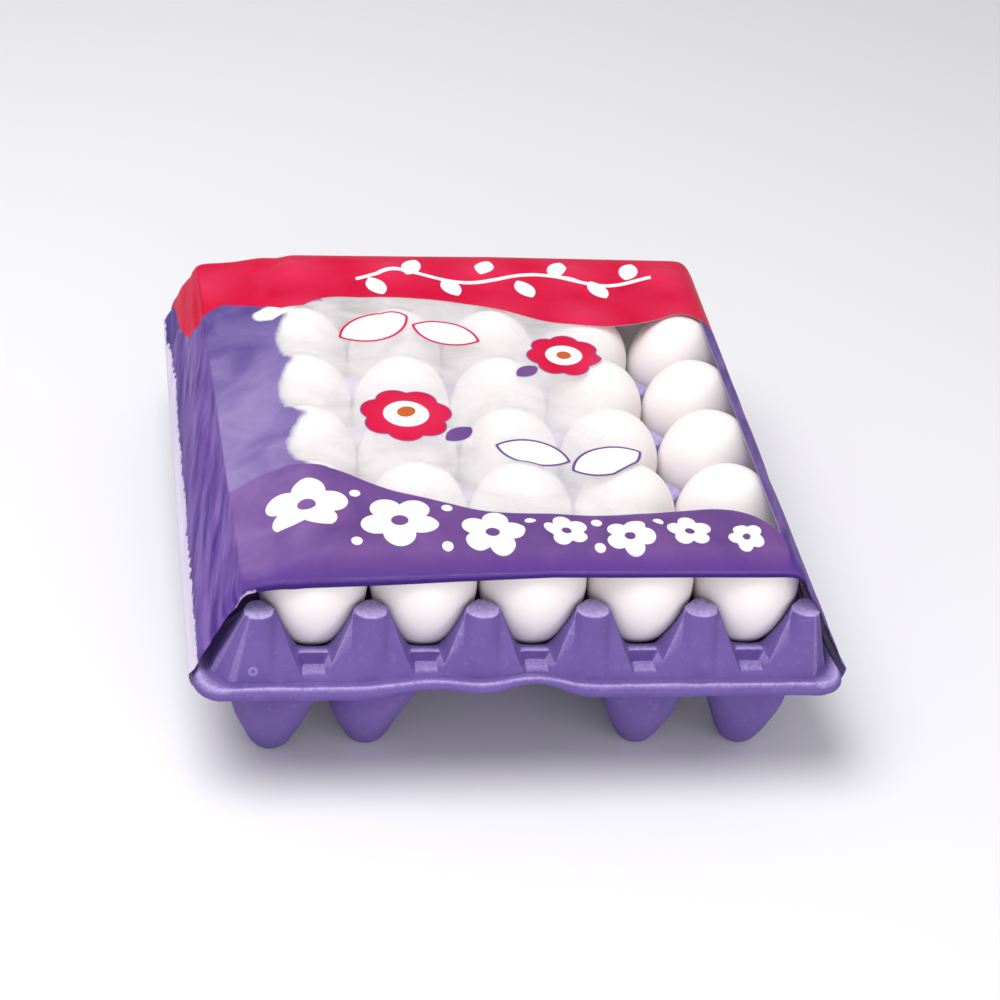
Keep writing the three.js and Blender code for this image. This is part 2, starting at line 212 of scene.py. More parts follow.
def white_egg_shell():
    """Calcite shell of a white hen egg: a satin skin with fine pores, faintly warm where light enters the shell."""
    made, tree = new_material("white_egg_shell")
    place = add(tree, "ShaderNodeTexCoord").outputs["Object"]
    pores = add(tree, "ShaderNodeTexNoise", {"Vector": place, "Scale": grain(0.9), "Detail": 3.0, "Roughness": 0.6})
    chalk = add(tree, "ShaderNodeTexNoise", {"Vector": place, "Scale": grain(14), "Detail": 2.0})
    colour = add(tree, "ShaderNodeMix", {0: chalk.outputs["Fac"], 6: linear("#F6EDEC"), 7: linear("#FAF3F2")},
                 data_type="RGBA")
    bump = add(tree, "ShaderNodeBump", {"Height": pores.outputs["Fac"], "Strength": 0.12, "Distance": 0.12 * MM})
    shader = add(tree, "ShaderNodeBsdfPrincipled",
                 {"Base Color": colour.outputs[2], "Roughness": 0.46, "IOR": 1.5, "Normal": bump.outputs[0],
                  "Subsurface Weight": 0.15, "Subsurface Radius": (1.0, 0.7, 0.6), "Subsurface Scale": 3 * MM})
    add(tree, "ShaderNodeOutputMaterial", {"Surface": shader.outputs[0]})
    return made


def printed_polyethylene_film():
    """Blown polyethylene film about 0.03 mm thick, printed by flexography: softly glossy and creased, clear with a
    milky haze where it is bare, and almost opaque where it carries ink or lies folded on itself. The attributes haze,
    flank, pale and touch are shares from 0 to 1, and each of the others holds how far a point lies inside a field of
    ink or of folded film, in millimetres. Some of these are painted light, not ink: pale paints a highlight on the
    left end of the violet band and shade towards the back of the slope, the fold field paints shade, and the three
    hem fields paint shade towards the front hem, a highlight line above it and a shadow line at its edge; the streaks
    on the crumpled sides are painted light and shade of the wrinkles."""
    made, tree = new_material("printed_polyethylene_film")
    sheet = add(tree, "ShaderNodeUVMap", uv_map="sheet").outputs[0]
    streak_way = add(tree, "ShaderNodeMapping",
                     {"Vector": sheet, "Rotation": (0, 0, math.radians(-22)), "Scale": (1, 6, 1)},
                     vector_type="TEXTURE")
    streak = add(tree, "ShaderNodeTexNoise", {"Vector": streak_way.outputs[0], "Scale": grain(7), "Detail": 4.0})
    patch = add(tree, "ShaderNodeTexNoise", {"Vector": sheet, "Scale": grain(26), "Detail": 3.0, "Distortion": 0.8})
    ragged = add(tree, "ShaderNodeTexNoise", {"Vector": sheet, "Scale": grain(5), "Detail": 4.0, "Roughness": 0.7})
    haze = add(tree, "ShaderNodeAttribute", attribute_name="haze")
    flank = add(tree, "ShaderNodeAttribute", attribute_name="flank")
    pale = add(tree, "ShaderNodeAttribute", attribute_name="pale").outputs["Fac"]

    def field(name, soft, torn):
        """Where an ink lies: its distance attribute, shifted by torn millimetres of raggedness, over a soft edge."""
        inside = add(tree, "ShaderNodeAttribute", attribute_name=name).outputs["Fac"]
        shift = add(tree, "ShaderNodeMapRange", {0: ragged.outputs["Fac"], 1: 0.3, 2: 0.7, 3: -torn, 4: torn})
        moved = add(tree, "ShaderNodeMath", {0: inside, 1: shift.outputs[0]}, operation="ADD")
        return add(tree, "ShaderNodeMapRange", {0: moved.outputs[0], 1: -soft, 2: soft, 3: 0.0, 4: 1.0}).outputs[0]

    def blend(share, low, high):
        return add(tree, "ShaderNodeMix", {0: share, 6: low, 7: high}, data_type="RGBA").outputs[2]

    # violet ink: even on the band; on the crumpled sides streaked lighter and darker along the same noise that bumps
    # the crumples, a painted light and shade of the wrinkles
    painted_wrinkle_light = add(tree, "ShaderNodeMapRange", {0: streak.outputs["Fac"], 1: 0.36, 2: 0.64, 3: 0.0, 4: 1.0}).outputs[0]
    cloudy = add(tree, "ShaderNodeMapRange", {0: patch.outputs["Fac"], 1: 0.34, 2: 0.66, 3: 0.0, 4: 1.0}).outputs[0]
    # the band is paler towards its left end: a painted highlight
    band = blend(cloudy, blend(pale, linear("#654484"), linear("#745496")),
                 blend(pale, linear("#744F8E"), linear("#8767A4")))
    violet = blend(flank.outputs["Fac"], band, blend(painted_wrinkle_light, linear("#55378E"), linear("#8A69B9")))
    thin = add(tree, "ShaderNodeMapRange", {0: flank.outputs["Fac"], 1: 0.0, 2: 1.0, 3: 0.95, 4: 0.76}).outputs[0]
    touch = add(tree, "ShaderNodeAttribute", attribute_name="touch").outputs["Fac"]
    crimson = blend(touch, blend(cloudy, linear("#CC0436"), linear("#D21743")), linear("#DA2C54"))
    # the mauve slope is darker towards the back: painted shade
    mauve = blend(cloudy, blend(pale, linear("#5B478E"), linear("#7A66A5")),
                  blend(pale, linear("#7C69A6"), linear("#9785BA")))
    layers = [
        ("slope", 1.2, 0.8, mauve, 0.88),
        ("violet", 0.25, 0.0, violet, thin),
        # painted shade in the folds of the film
        ("painted_fold_shade", 0.5, 0.6, linear("#4A2C84"), 0.95),
        ("crimson", 0.25, 0.0, crimson, 0.95),
        ("white", 0.2, 0.0, linear("#F3EEF3"), 0.97),
        ("orange", 0.2, 0.0, linear("#C0602F"), 0.97),
        ("margin", 0.5, 2.0, linear("#E0D6EA"), 0.85),
        # painted shade darkening the violet towards the front hem, a painted highlight line just above the hem, and a
        # painted shadow line at its edge
        ("hem", 4.0, 0.6, linear("#5A3A8A"), 0.95),
        ("hem_highlight", 0.25, 0.1, linear("#7657A2"), 0.5),
        ("hem_edge_shade", 0.2, 0.1, linear("#3A216C"), 0.95),
        ("curl", 0.3, 0.3, linear("#CDBBDE"), 0.9),
    ]
    milky = add(tree, "ShaderNodeMapRange", {0: cloudy, 1: 0.0, 2: 1.0, 3: 0.65, 4: 1.0})
    clear_alpha = add(tree, "ShaderNodeMath", {0: haze.outputs["Fac"], 1: milky.outputs[0]}, operation="MULTIPLY")
    colour, alpha = linear("#FDFAFC"), clear_alpha.outputs[0]
    for name, soft, torn, ink, cover in layers:
        mask = field(name, soft, torn)
        colour = blend(mask, colour, ink)
        alpha = add(tree, "ShaderNodeMix", {0: mask, 2: alpha, 3: cover}, data_type="FLOAT").outputs[0]
    crumple = add(tree, "ShaderNodeMath", {0: streak.outputs["Fac"], 1: ragged.outputs["Fac"]}, operation="ADD")
    bump = add(tree, "ShaderNodeBump", {"Height": crumple.outputs[0], "Strength": 0.2, "Distance": 0.8 * MM})
    shader = add(tree, "ShaderNodeBsdfPrincipled",
                 {"Base Color": colour, "Alpha": alpha, "Roughness": 0.45, "IOR": 1.5, "Specular IOR Level": 0.06,
                  "Normal": bump.outputs[0]})
    add(tree, "ShaderNodeOutputMaterial", {"Surface": shader.outputs[0]})
    return made


# ---------------------------------------------------------------- meshes

class Skin:
    """Bands of faces between rows of points, which may carry more numbers after x, y and z, welded into one mesh."""

    def __init__(self):
        self.points, self.quads, self.count = [], [], 0

    def sheet(self, rows, closed):
        """Faces over rows of as many points, which face left of the way from one row to the next."""
        rows = np.asarray(rows)
        levels, width, numbers = rows.shape
        index = self.count + np.arange(levels * width).reshape(levels, width)
        follow = np.roll(index, -1, axis=1)
        here, there = (index, follow) if closed else (index[:, :-1], follow[:, :-1])
        self.quads.append(np.stack([here[:-1], there[:-1], there[1:], here[1:]], axis=-1).reshape(-1, 4))
        self.points.append(rows.reshape(-1, numbers))
        self.count += levels * width

    def welded(self):
        """Points and faces, with equal points joined and the corners that fall together dropped."""
        points = np.concatenate(self.points)
        # the odd offset keeps round coordinates off the ties of the rounding
        near = np.round(points[:, :3] * 100 + 0.137)
        _, first, same = np.unique(near, axis=0, return_index=True, return_inverse=True)
        faces = []
        for quad in same.reshape(-1)[np.concatenate(self.quads)].tolist():
            corners = [c for i, c in enumerate(quad) if c != quad[i - 1]]
            if len(corners) > 2 and len(set(corners)) == len(corners):
                faces.append(corners)
        return points[first], faces


def steps_between(rows, steps):
    """Rows with straight steps put in between each row and the next."""
    made = []
    for a, b, count in zip(rows, rows[1:], steps):
        made += [mix(a, b, i / count) for i in range(count)]
    return made + [rows[-1]]


def rounded(rows, times):
    """Rows of points with their bends cut round, and the first and the last row kept."""
    for _ in range(times):
        cut = [rows[0]]
        for a, b in zip(rows, rows[1:]):
            cut += [mix(a, b, 0.25), mix(a, b, 0.75)]
        rows = cut + [rows[-1]]
    return rows


def edges_of(faces):
    pairs = {(min(a, b), max(a, b)) for face in faces for a, b in zip(face, face[1:] + face[:1])}
    return np.array(sorted(pairs))


def relaxed(points, edges, rounds, strength):
    """Points moved towards the middle of their neighbours, with a strength for each point."""
    count = np.bincount(edges.reshape(-1), minlength=len(points))[:, None]
    for _ in range(rounds):
        total = np.zeros_like(points)
        np.add.at(total, edges[:, 0], points[edges[:, 1]])
        np.add.at(total, edges[:, 1], points[edges[:, 0]])
        points = mix(points, total / count, strength)
    return points


def normals_of(points, faces):
    total = np.zeros_like(points)
    for size in (3, 4):
        part = np.array([f for f in faces if len(f) == size])
        if len(part):
            across = np.cross(points[part[:, 2]] - points[part[:, 0]], points[part[:, -1]] - points[part[:, 1]])
            for corner in range(size):
                np.add.at(total, part[:, corner], across)
    return total / np.maximum(np.linalg.norm(total, axis=1, keepdims=True), 1e-9)


def new_piece(name, points, faces, material, nodes):
    """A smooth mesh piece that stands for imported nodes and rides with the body."""
    mesh = bpy.data.meshes.new(name)
    mesh.from_pydata(in_metres(points).tolist(), [], faces)
    mesh.polygons.foreach_set("use_smooth", [True] * len(mesh.polygons))
    mesh.materials.append(material)
    piece = bpy.data.objects.new(name, mesh)
    bpy.context.collection.objects.link(piece)
    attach(piece, "root")
    if nodes:
        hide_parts(*nodes)
    return piece


def give(piece, name, values):
    """A number for each point of a piece's mesh, as an attribute that its material reads."""
    layer = piece.data.attributes.new(name, "FLOAT", "POINT")
    layer.data.foreach_set("value", np.asarray(values, dtype=np.float32))


def relief(points, size, seed):
    """Soft noise of a feature size at each point, between about -1 and 1."""
    shift = Vector((17.3 * seed, -9.1 * seed, 5.7 * seed))
    return np.array([noise.noise(Vector(p) / size + shift) for p in points.tolist()])


class Crumple:
    """Smooth random heights over a flat sheet, the same on every run."""

    cells = 256

    def __init__(self, seed):
        self.grid = np.random.default_rng(seed).uniform(-1, 1, (self.cells, self.cells))

    def at(self, u, v):
        """Height at coordinates that are counted in features."""
        i, j = np.floor(u).astype(int), np.floor(v).astype(int)
        a, b = ease(u - i, 0, 1), ease(v - j, 0, 1)

        def corner(di, dj):
            return self.grid[(i + di) % self.cells, (j + dj) % self.cells]

        return mix(mix(corner(0, 0), corner(1, 0), a), mix(corner(0, 1), corner(1, 1), a), b)


# ---------------------------------------------------------------- the pulp tray

def ridge(start, end):
    """Points of a ridge from peak to peak without its last, each with its distance from the nearer peak."""
    start, end = np.array(start), np.array(end)
    outer = any(a == b and abs(a) == side for a, b, side in zip(start, end, (BED_X, BED_Y)))
    length = float(np.linalg.norm(end - start))
    knots = [0, PEAK_RADIUS, NOTCH_START, NOTCH_START + 0.7, length / 2]
    counts = [6, 9, 1, 5] if outer else [4, 5, 1, 3]
    half = [mix(a, b, i / n) for a, b, n in zip(knots, knots[1:], counts) for i in range(n)]
    along = np.array(half + [length / 2] + [length - a for a in half[:0:-1]])
    near = np.minimum(along, length - along)
    top = PEAK_TOP - PEAK_DROP * np.minimum(near / PEAK_RADIUS, 1) ** 2
    fall = (NOTCH_DEPTH + PEAK_TOP - PEAK_DROP) * slope_share(near)
    plan = start + (end - start) * (along / length)[:, None]
    return np.column_stack([plan, top - fall]), near, np.full(len(near), length)


def slope_share(near):
    """0 on a peak, 1 in a notch and rising between them, for a distance from the peak's middle."""
    return np.clip((near - PEAK_RADIUS) / (NOTCH_START - PEAK_RADIUS), 0, 1)


def flat_share(near):
    """1 in the middle of a peak's flat top and 0 from its tips on."""
    return np.clip(1 - near / PEAK_RADIUS, 0, 1) ** 0.75


def under(points, near):
    """The lower side of a ridge."""
    skin = mix(PEAK_SKIN, NOTCH_SKIN, slope_share(near))
    return points - np.column_stack([0 * skin, 0 * skin, skin])


def marked(points, marks):
    return np.column_stack([points, marks + 0 * points[:, 0]])


def cup(skin, column, row):
    """One cup with its four ridges: the inside faces up and the outside faces down."""
    centre = np.array([column_x(column), row_y(row)])
    xs, ys = (ridge_x(column), ridge_x(column + 1)), (ridge_y(row), ridge_y(row + 1))
    corners = [(xs[0], ys[0]), (xs[1], ys[0]), (xs[1], ys[1]), (xs[0], ys[1])]
    sides = [ridge(corners[i], corners[(i + 1) % 4]) for i in range(4)]
    edge, near = np.concatenate([s[0] for s in sides]), np.concatenate([s[1] for s in sides])
    toward = centre - edge[:, :2]
    angle = np.arctan2(-toward[:, 1], -toward[:, 0])
    slope = slope_share(near)
    short = column_x(column) == 0 and row in (0, ROWS - 1)
    squeeze = (SHORT_CUP_DEPTH - SPLAY_FROM) / (FOOT_DEPTH - SPLAY_FROM) if short else 1.0
    lean_x = 0.0 if short else SPLAY_X[column]
    lean_y = 0.0 if short else {0: -SPLAY_Y[column], ROWS - 1: SPLAY_Y[column]}.get(row, 0.0)

    def ring(radius, z):
        lean = float(np.clip((-z - SPLAY_FROM) / (SPLAY_TO - SPLAY_FROM), 0, 1))
        x = centre[0] + lean_x * lean + radius * np.cos(angle)
        y = centre[1] + lean_y * lean + radius * np.sin(angle)
        return marked(np.column_stack([x, y, np.full(len(x), (z + SPLAY_FROM) * squeeze - SPLAY_FROM)]), 0)

    flat = (near < PEAK_RADIUS) * 1.0
    inward = PEAK_CORNER * flat_share(near) / np.linalg.norm(toward, axis=1)
    height = np.where(near < PEAK_RADIUS, PEAK_TOP - PEAK_DROP, edge[:, 2])
    brim = np.column_stack([edge[:, :2] + toward * inward[:, None], height])
    reach, depth = (mix(a, b, slope) for a, b in zip(MOUTH_AT_PEAK, MOUTH_AT_NOTCH))
    mouth = np.column_stack([centre[0] + reach * np.cos(angle), centre[1] + reach * np.sin(angle), depth])
    below = mix(brim, mouth, 0.06)
    bowl = rounded([marked(mouth, 0)] + [ring(*spot) for spot in CUP_INSIDE] + [ring(0, CUP_INSIDE[-1][1])], 2)
    # the flat tops of the peaks carry a painted highlight
    top = [marked(edge, 0.75 * flat), marked(brim, 0.75 * flat), marked(below, 0), marked(mouth, 0)]
    skin.sheet(steps_between(top, [2, 1, 4])[:-1] + bowl, True)
    foot = rounded([ring(*spot) for spot in CUP_OUTSIDE] + [ring(0, -FOOT_DEPTH)], 1)
    skin.sheet((steps_between([marked(under(edge, near), 0), foot[0]], [4])[:-1] + foot)[::-1], True)


def arch_rise(x):
    """The rise of the flange over the finger grips."""
    reach = [np.minimum(np.abs(x - middle) / half, 1) for middle, _, half in ARCHES]
    return sum(height * (1 + np.cos(np.pi * r)) / 2 for (_, height, _), r in zip(ARCHES, reach))


def wall_stations():
    """The outermost ridge points all round the bed, each with the point of the flange's edge that it faces, how far
    the flange rises there, the offset and direction along its ridge, and on a rounded corner the ends of its arc with
    the share of the way between them."""
    corners = [(-BED_X, -BED_Y), (BED_X, -BED_Y), (BED_X, BED_Y), (-BED_X, BED_Y)]
    rims = [RIM_FRONT, RIM_RIGHT, RIM_BACK, RIM_LEFT]
    right, left = RIM_RIGHT - CORNER_RADIUS, RIM_LEFT + CORNER_RADIUS
    front, back = RIM_FRONT + CORNER_RADIUS, RIM_BACK - CORNER_RADIUS
    centres = [(right, front), (right, back), (left, back), (left, front)]
    stations = []
    for side in range(4):
        start, end, count = np.array(corners[side]), np.array(corners[(side + 1) % 4]), (COLUMNS, ROWS)[side % 2]
        way = (end - start) / np.linalg.norm(end - start)
        axis = side % 2
        nodes = [[ridge_x(i), start[1]] if axis == 0 else [start[0], ridge_y(i)] for i in range(count + 1)]
        if way[axis] < 0:
            nodes.reverse()
        for a, b in zip(nodes, nodes[1:]):
            points, near, lengths = ridge(a, b)
            for point, d, length in zip(points, near, lengths):
                rim = [point[0], rims[side]] if axis == 0 else [rims[side], point[1]]
                offset = float(np.dot(point[:2] - np.array(a), way)) - length / 2
                rise = float(arch_rise(point[0])) if axis == 0 else 0.0
                stations.append({"at": point, "near": d, "length": length, "rim": rim, "rise": rise,
                                 "offset": offset, "way": way, "chord": None})
        straight = [end[0], rims[side]] if axis == 0 else [rims[side], end[1]]
        first = 1.5 * math.pi + side * math.pi / 2
        arc = [np.array(centres[side]) + CORNER_RADIUS * np.array([math.cos(a), math.sin(a)])
               for a in np.linspace(first, first + math.pi / 2, CORNER_STEPS + 1)]
        rest = [rims[(side + 1) % 4], end[1]] if axis == 0 else [end[0], rims[(side + 1) % 4]]
        lead = [mix(np.array(straight), arc[0], i / 4) for i in range(4)]
        tail = [mix(arc[-1], np.array(rest), i / 4) for i in range(1, 4)]
        for rim in lead + arc + tail:
            share = next((i / CORNER_STEPS for i, spot in enumerate(arc) if spot is rim), None)
            chord = None if share is None else (arc[0], arc[-1], share)
            stations.append({"at": np.array([*end, PEAK_TOP]), "near": 0.0, "length": PITCH_X, "rim": rim,
                             "rise": 0.0, "offset": PITCH_X / 2, "way": way, "chord": chord})
    return stations


def wall_foot(base, rim):
    """Where the wall under a ridge point meets the flange."""
    reach = math.dist(base, rim)
    return mix(np.array(base), np.array(rim), (reach - FLANGE_WIDTH) / reach)


def wall_section(station):
    """The control points of the wall and the flange at one station, from the ridge out and back underneath, each with
    a number for the pulp's colour: above 0 for rubbed edges and painted highlights, below 0 for painted shade."""
    base, height, rise, near = station["at"][:2], station["at"][2], station["rise"], station["near"]
    rim = np.array(station["rim"])
    foot = wall_foot(base, rim)
    if station["chord"]:
        first, last, share = station["chord"]
        foot = mix(foot, mix(wall_foot(base, first), wall_foot(base, last), share), 0.85)
    reach, foot_reach = math.dist(base, rim), math.dist(base, foot)
    outward, to_foot = (rim - base) / reach, (foot - base) / foot_reach
    rises = {part: rise * share for part, share in ARCH_SHARE.items()}
    foot_z = rises["foot"] - FLANGE_DEPTH
    shoulder = PEAK_TOP - PEAK_DROP
    start = PEAK_FRONT * math.sqrt(1 - min(near / PEAK_RADIUS, 1) ** 2)

    def plane(z):
        return mix(start, foot_reach, (shoulder - z) / (shoulder - foot_z))

    offset, half_notch = station["offset"], station["length"] / 2 - NOTCH_START
    in_notch, on_peak = near > NOTCH_START + 0.3, near < PEAK_RADIUS
    pocket_z, ledge_z = (rises["ledge"] - NOTCH_DEPTH - RECESS[part] for part in ("depth", "ledge_depth"))
    if in_notch:
        # in a notch: painted highlights on its top line, on the ledge and on one side wall of the pocket (the
        # left-facing one at the front), and painted shade on the rest of the pocket
        side = 0.5 if offset > half_notch - 1.6 else -0.5
        rows = [(RECESS["front"], height, 0.9 * (abs(offset) < half_notch - 1.8)),
                (RECESS["front"] + 0.3, height - 0.8, side),
                (RECESS["foot"], pocket_z, side), (RECESS["foot"] + 0.4, pocket_z + 0.03, 0.5),
                (RECESS["ledge"] - 0.6, ledge_z, 0.5), (plane(ledge_z - 0.3), ledge_z - 0.3, 0.0)]
    else:
        # elsewhere: a painted highlight on a peak's flat top, on the crest of each slope with offset above 0 (the
        # left-facing ones at the front) and near the ends of the rounded corners
        top = min(height, shoulder)
        crest = not on_peak and offset > 0
        levels = [top - 0.5, mix(top, ledge_z, 0.75), mix(top, ledge_z, 0.8), ledge_z - 0.3, ledge_z - 0.9]
        corner = 0.3 * (station["chord"] is not None and abs(station["chord"][2] - 0.5) > 0.25)
        rows = [(plane(top), top, 0.9 * on_peak)] + [(plane(z), z, corner) for z in levels]
        if crest:
            z = min(top, mix(top, foot_z, 0.09))
            rows[1] = (plane(z), z, 0.42)
    narrow = half_notch - 2.5
    outer = half_notch + NOTCH_START - PEAK_RADIUS
    closer = abs(offset) * narrow / half_notch if abs(offset) <= half_notch else mix(
        narrow, outer, (abs(offset) - half_notch) / (outer - half_notch))
    shift = 0 * station["way"] if on_peak else (math.copysign(closer, offset) - offset) * station["way"]
    # the ridge point of a peak carries the painted highlight of its flat top
    made = [[*base, height, 0.75 * on_peak]]
    for slide, (distance, z, wear_and_painted_light) in zip((0, 0.1, 1, 1, 1, 1), rows):
        made.append([*(base + to_foot * distance + shift * slide), z, wear_and_painted_light])
    lip_z = rises["lip"] - FLANGE_DEPTH + LIP_RISE
    lip, edge = base + outward * (reach - LIP_INSET), base + outward * reach
    edge_z = rises["edge"] - FLANGE_DEPTH - EDGE_DROP
    inner, outer_lip = mix(foot, lip, 0.72), mix(lip, edge, 0.35)
    # a painted highlight along the lip and beside it, and painted shade on the flange's edge
    beside_lip = 0.55 if station["chord"] else 0.3
    return made + [
        [*foot, foot_z, 0.0], [*inner, mix(foot_z, lip_z, 0.8), beside_lip], [*lip, lip_z, 0.9],
        [*outer_lip, mix(lip_z, edge_z, 0.2), beside_lip], [*edge, edge_z, -0.2],
        [*edge, rises["underside"] - FLANGE_DEPTH - EDGE_DROP - EDGE_THICKNESS, -0.2],
        [*foot, foot_z - WALL_SKIN, 0.0], [*under(np.array([[*base, height]]), np.array([near]))[0], 0.0]]


def pulp_tray(material):
    skin = Skin()
    for row in range(ROWS):
        for column in range(COLUMNS):
            cup(skin, column, row)
    sections = np.array([wall_section(station) for station in wall_stations()])
    rows = steps_between(list(sections.transpose(1, 0, 2)), [4, 1, 5, 1, 3, 1, 4, 3, 2, 2, 3, 2, 3, 6])
    skin.sheet(rows[::-1], True)
    points, faces = skin.welded()
    points, wear_and_painted_light = points[:, :3], points[:, 3]
    edges = edges_of(faces)
    outside = ease(np.maximum(np.abs(points[:, 0]) - BED_X, np.abs(points[:, 1]) - BED_Y), 0, 2)
    crisp = np.maximum(outside * ease(points[:, 2], -32, -30), ease(points[:, 2], -4, 0))
    points = relaxed(points, edges, 4, (0.4 - 0.28 * crisp)[:, None])
    normals = normals_of(points, faces)
    flange = outside * ease(-points[:, 2], 22, 24)
    felted = 0.1 * relief(points, 3.1, 1) + 0.25 * relief(points, 16, 2) + 0.35 * flange * relief(points, 7, 3)
    points = points + normals * felted[:, None]
    wall = ease(points[:, 0], BED_X, RIM_RIGHT - FLANGE_WIDTH) * ease(points[:, 2], -45, -35)
    points[:, 0] -= wall * np.interp((points[:, 1] - RIM_FRONT) / (RIM_BACK - RIM_FRONT), *STEEPER)
    points = np.clip(points, [RIM_LEFT, RIM_FRONT, -FOOT_DEPTH], [RIM_RIGHT, RIM_BACK, TRAY_TOP])
    tray = new_piece("pulp_tray", points, faces, material, ["tray"])
    give(tray, "wear_and_painted_light", wear_and_painted_light)
    return tray


# ---------------------------------------------------------------- the eggs

def seeded_draw(seed):
    """Numbers between -1 and 1, the same on every run."""
    state = seed
    while True:
        state = (state * 1664525 + 1013904223) % 2 ** 32
        yield state / 2 ** 32 * 2 - 1


def egg_mesh():
    """A blunt-topped oval with points in rings."""
    rings, turns = 40, 56
    skin = Skin()
    heights = np.linspace(-math.pi / 2, math.pi / 2, rings)
    turn = np.linspace(0, 2 * math.pi, turns, endpoint=False)
    rows = []
    for angle in heights:
        girth = max(math.cos(angle), 0) * (1 + EGG_BLUNTNESS * math.sin(angle))
        z = np.full(turns, EGG_HALF_HEIGHT * math.sin(angle))
        rows.append(np.column_stack([EGG_RADIUS_X * girth * np.cos(turn), EGG_RADIUS_Y * girth * np.sin(turn), z]))
    skin.sheet(rows, True)
    return skin.welded()


def eggs(material):
    shape, faces = egg_mesh()
    draw = seeded_draw(EGG_SEED)
    for row in range(ROWS):
        for column in range(COLUMNS):
            spin = Matrix.Rotation(EGG_TILT * next(draw), 3, "X") @ Matrix.Rotation(EGG_TILT * next(draw), 3, "Y")
            size = [1 + EGG_SIZE_SPREAD * next(draw) for _ in range(3)]
            dents = 1 + 0.004 * relief(shape, 19, 10 + row * COLUMNS + column)
            points = (shape * dents[:, None] * size) @ np.array(spin).T
            points = points + [column_x(column), row_y(row), EGG_CENTRE]
            name = f"row{row + 1}_column{column + 1}"
            new_piece(f"white_egg_{name}", points, faces, material, [f"egg_{name}"])


# ---------------------------------------------------------------- the film sleeve

def film_height(x, y, fold_left):
    """Height of the film over the eggs: taut over the bed, straight from the left eggs to the left crease, and
    rounded down to the right crease and the hems."""
    egg_x, egg_y = column_x(COLUMNS - 1), row_y(ROWS - 1)
    hem_height = mix(HEM_HEIGHT_LEFT, HEM_HEIGHT_RIGHT, np.clip((x + 105) / 110, 0, 1))
    side = np.where(x < 0, fold_left, FOLD_RIGHT) - egg_x
    side_reach = side / math.sqrt(1 - (FOLD_Z / FILM_TOP) ** 2)
    hem = np.where(y < 0, -HEM_FRONT, HEM_BACK) - egg_y
    hem_reach = hem / np.sqrt(1 - (hem_height / FILM_TOP) ** 2)
    across = np.maximum(0, np.abs(x) - egg_x) / side_reach
    along = np.maximum(0, np.abs(y) - egg_y) / hem_reach
    reach = (across ** CORNER_POWER + along ** CORNER_POWER) ** (1 / CORNER_POWER)
    dome = FILM_TOP * np.sqrt(1 - np.minimum(reach, 1) ** 2)
    taut = FILM_TOP - (FILM_TOP - FOLD_Z) * np.clip((-x - egg_x) / (fold_left - egg_x), 0, 1)
    blend = 0.01 + 8 * ease(x + fold_left, 0, 14)
    share = np.clip(0.5 + 0.5 * (taut - dome) / blend, 0, 1)
    return mix(taut, dome, share) - blend * share * (1 - share)


def egg_height(x, y):
    """Height of the eggs' upper side at each place, and far below them beside it."""
    column = np.clip(np.round(x / PITCH_X + (COLUMNS - 1) / 2), 0, COLUMNS - 1)
    row = np.clip(np.round(y / PITCH_Y + (ROWS - 1) / 2), 0, ROWS - 1)
    across, along = (x - column_x(column)) / EGG_RADIUS_X, (y - row_y(row)) / EGG_RADIUS_Y
    inside = 1 - (across ** 2 + along ** 2) / (1 + 0.7 * EGG_BLUNTNESS) ** 2
    return np.where(inside > 0, EGG_CENTRE + EGG_HALF_HEIGHT * np.sqrt(np.maximum(inside, 0)), -FOOT_DEPTH)


def wave(x, knots):
    """A smooth line through a few knots, as y over x."""
    xs, ys = np.array(knots, dtype=float).T
    slopes = np.gradient(ys, xs)
    i = np.clip(np.searchsorted(xs, x) - 1, 0, len(xs) - 2)
    gap = xs[i + 1] - xs[i]
    t = np.clip((x - xs[i]) / gap, 0, 1)
    start = (2 * t ** 3 - 3 * t ** 2 + 1) * ys[i] + (t ** 3 - 2 * t ** 2 + t) * gap * slopes[i]
    return start + (3 * t ** 2 - 2 * t ** 3) * ys[i + 1] + (t ** 3 - t ** 2) * gap * slopes[i + 1]


# edges of the fields of ink on the top: y over x
VIOLET_WAVE = [(-142, -70), (-131, -67), (-119, -61), (-108, -61), (-99, -64), (-86, -65.5), (-79, -69), (-71, -74.5),
               (-64, -79), (-41, -88.5), (-24, -95), (10, -98), (45, -98), (67, -95), (82, -94), (94.5, -98),
               (107, -110), (120, -124)]
CRIMSON_WAVE = [(-142.4, 80), (-141, 83), (-134, 89), (-127, 86.5), (-109, 76.5), (-97, 71), (-87, 79.5), (-60, 83),
                (-24, 81), (4, 72), (33, 61), (53, 58), (74, 62.5), (93, 68), (106, 68), (120, 68)]
# the crimson tongue on the left side: y over the way down, and the white strip above the rim: width over y
TONGUE = [(0, 83), (0.19, 82.4), (0.37, 86.2), (0.475, 99), (0.62, 129), (0.78, 142.6), (1, 150), (2, 160)]
STRIP = [(-140, 8), (-60, 7.5), (0, 8), (60, 8.5), (98, 7), (112, 2.5), (150, 2.5)]
# where the film lies on the leftmost eggs: x, y, half width, half length
CONTACTS = [(-82, -44, 22, 25), (-82, 2, 25, 31), (-82, 46, 25, 32.6), (-107, 71, 11, 6.5), (-82, -92, 22, 36)]


def disc(x, y, middle, size):
    return size - np.hypot(x - middle[0], y - middle[1])


def oval(x, y, middle_x, middle_y, half_x, half_y):
    return half_x * (1 - np.hypot((x - middle_x) / half_x, (y - middle_y) / half_y))


